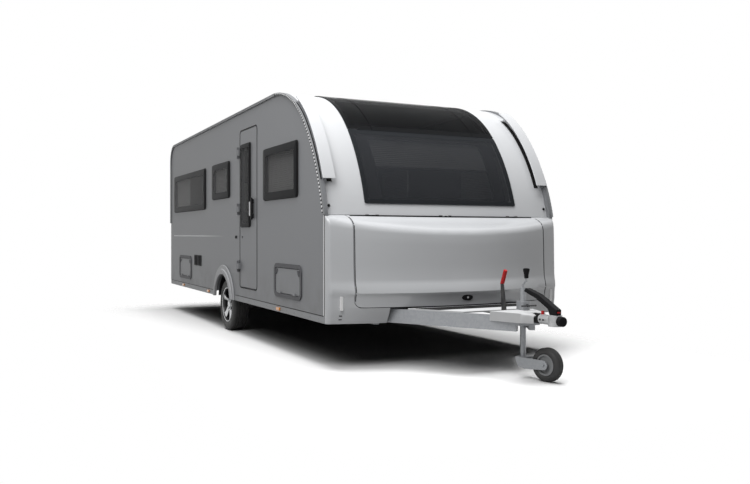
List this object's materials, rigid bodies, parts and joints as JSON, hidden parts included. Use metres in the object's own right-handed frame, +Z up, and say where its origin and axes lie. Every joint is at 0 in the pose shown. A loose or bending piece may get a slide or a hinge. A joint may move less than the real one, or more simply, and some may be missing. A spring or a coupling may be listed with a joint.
{
  "type": "travel caravan",
  "caption": "Touring caravan with curved front glass, hinged entrance door, gas locker lid, service hatches, V drawbar with ball coupling, jockey wheel and corner steadies.",
  "frame": {"origin": "on the ground under the centre of the bounding box", "axes": "+X forward to the tow coupling, +Y to the left side, +Z up"},
  "size_m": [7.78, 2.528, 2.6082],
  "materials": {
    "wall_paint": "metallic satin on glass-fibre sandwich panel",
    "front_paint": "silver gloss",
    "floor_board": "dark sealed",
    "roof_sheet": "white glass-fibre sheet",
    "rear_panel": "grey",
    "tinted_glass": "tinted acrylic",
    "locker_lining": "dark",
    "aluminium": "anodised",
    "black_plastic": "black",
    "grey_plastic": "dark grey",
    "trim_plastic": "light grey",
    "blind_cloth": "pleated",
    "amber_lens": "amber",
    "white_lens": "white",
    "red_lens": "red",
    "white_plastic": "white",
    "galvanised": "hot-dip galvanised",
    "black_steel": "black coat",
    "cast_head": "silver coat",
    "gaiter_rubber": "matt",
    "red_grip": "red",
    "tyre": "matt",
    "alloy": "machined"
  },
  "bodies": {
    "body": {"floor_panel": "floor_board", "side_wall_right": "wall_paint", "side_wall_left": "wall_paint", "roof_panel": "roof_sheet", "rear_wall": "rear_panel", "front_panel": "front_paint", "front_glass": "tinted_glass", "locker_box": "locker_lining", "front_corners": "front_paint", "corner_covers": "front_paint", "awning_rails": "aluminium", "skirts": "aluminium", "arch_trims": "trim_plastic", "arch_liners": "black_plastic", "windows": "tinted_glass", "blinds": "blind_cloth", "hatch_frames": "grey_plastic", "vents": "black_plastic", "side_markers": "amber_lens", "front_reflectors": "white_lens", "rear_lamps": "red_lens", "rear_bumper": "trim_plastic", "rooflights": "white_plastic", "chassis_frame": "galvanised", "axle": "black_steel", "drawbar_cover": "white_plastic", "overrun_gaiter": "gaiter_rubber", "coupling_head": "cast_head", "coupling_handle": "black_plastic", "handbrake_lever": "black_steel", "handbrake_grip": "red_grip", "jockey_post": "galvanised"},
    "door": {"entrance_door": "wall_paint", "door_window": "tinted_glass", "door_handle": "black_plastic"},
    "lid": {"locker_lid": "front_paint"},
    "hatch_front": {"hatch_front": "wall_paint"},
    "hatch_rear": {"hatch_rear": "wall_paint"},
    "wheel_right": {"tyre_right": "tyre", "rim_right": "alloy"},
    "wheel_left": {"tyre_left": "tyre", "rim_left": "alloy"},
    "jockey": {"jockey_fork": "galvanised"},
    "jockey_wheel": {"jockey_tyre": "tyre", "jockey_rim": "white_plastic"},
    "steady_front_right": {"steady_front_right": "galvanised"},
    "steady_front_left": {"steady_front_left": "galvanised"},
    "steady_rear_right": {"steady_rear_right": "galvanised"},
    "steady_rear_left": {"steady_rear_left": "galvanised"}
  },
  "joints": [
    {"name": "wheel_right_spin", "type": "hinge", "parent": "body", "child": "wheel_right", "pos_m": [-0.85, -1.1025, 0.31], "axis": [0, 1, 0], "continuous": true},
    {"name": "wheel_left_spin", "type": "hinge", "parent": "body", "child": "wheel_left", "pos_m": [-0.85, 1.1025, 0.31], "axis": [0, 1, 0], "continuous": true},
    {"name": "jockey_swivel", "type": "hinge", "parent": "body", "child": "jockey", "pos_m": [3.29, 0.09199, 0.3], "axis": [0, 0, 1], "continuous": true},
    {"name": "jockey_spin", "type": "hinge", "parent": "jockey", "child": "jockey_wheel", "pos_m": [3.53649, 0.14438, 0.135], "axis": [-0.2079, 0.9781, 0], "continuous": true},
    {"name": "door_hinge", "type": "hinge", "parent": "body", "child": "door", "pos_m": [-0.213, -1.256, 1.45], "axis": [0, 0, -1], "range_deg": [0, 175]},
    {"name": "lid_hinge", "type": "hinge", "parent": "body", "child": "lid", "pos_m": [2.243, 0, 1.334], "axis": [0, -1, 0], "range_deg": [0, 75]},
    {"name": "hatch_front_hinge", "type": "hinge", "parent": "body", "child": "hatch_front", "pos_m": [1.37, -1.24, 0.59], "axis": [1, 0, 0], "range_deg": [0, 110]},
    {"name": "hatch_rear_hinge", "type": "hinge", "parent": "body", "child": "hatch_rear", "pos_m": [-2.87, -1.24, 0.567], "axis": [1, 0, 0], "range_deg": [0, 110]},
    {"name": "steady_front_right_swing", "type": "hinge", "parent": "body", "child": "steady_front_right", "pos_m": [1.95, -0.9, 0.44], "axis": [0, -1, 0], "range_deg": [0, 65]},
    {"name": "steady_front_left_swing", "type": "hinge", "parent": "body", "child": "steady_front_left", "pos_m": [1.95, 0.9, 0.44], "axis": [0, -1, 0], "range_deg": [0, 65]},
    {"name": "steady_rear_right_swing", "type": "hinge", "parent": "body", "child": "steady_rear_right", "pos_m": [-3.35, -0.9, 0.44], "axis": [0, 1, 0], "range_deg": [0, 65]},
    {"name": "steady_rear_left_swing", "type": "hinge", "parent": "body", "child": "steady_rear_left", "pos_m": [-3.35, 0.9, 0.44], "axis": [0, 1, 0], "range_deg": [0, 65]}
  ]
}
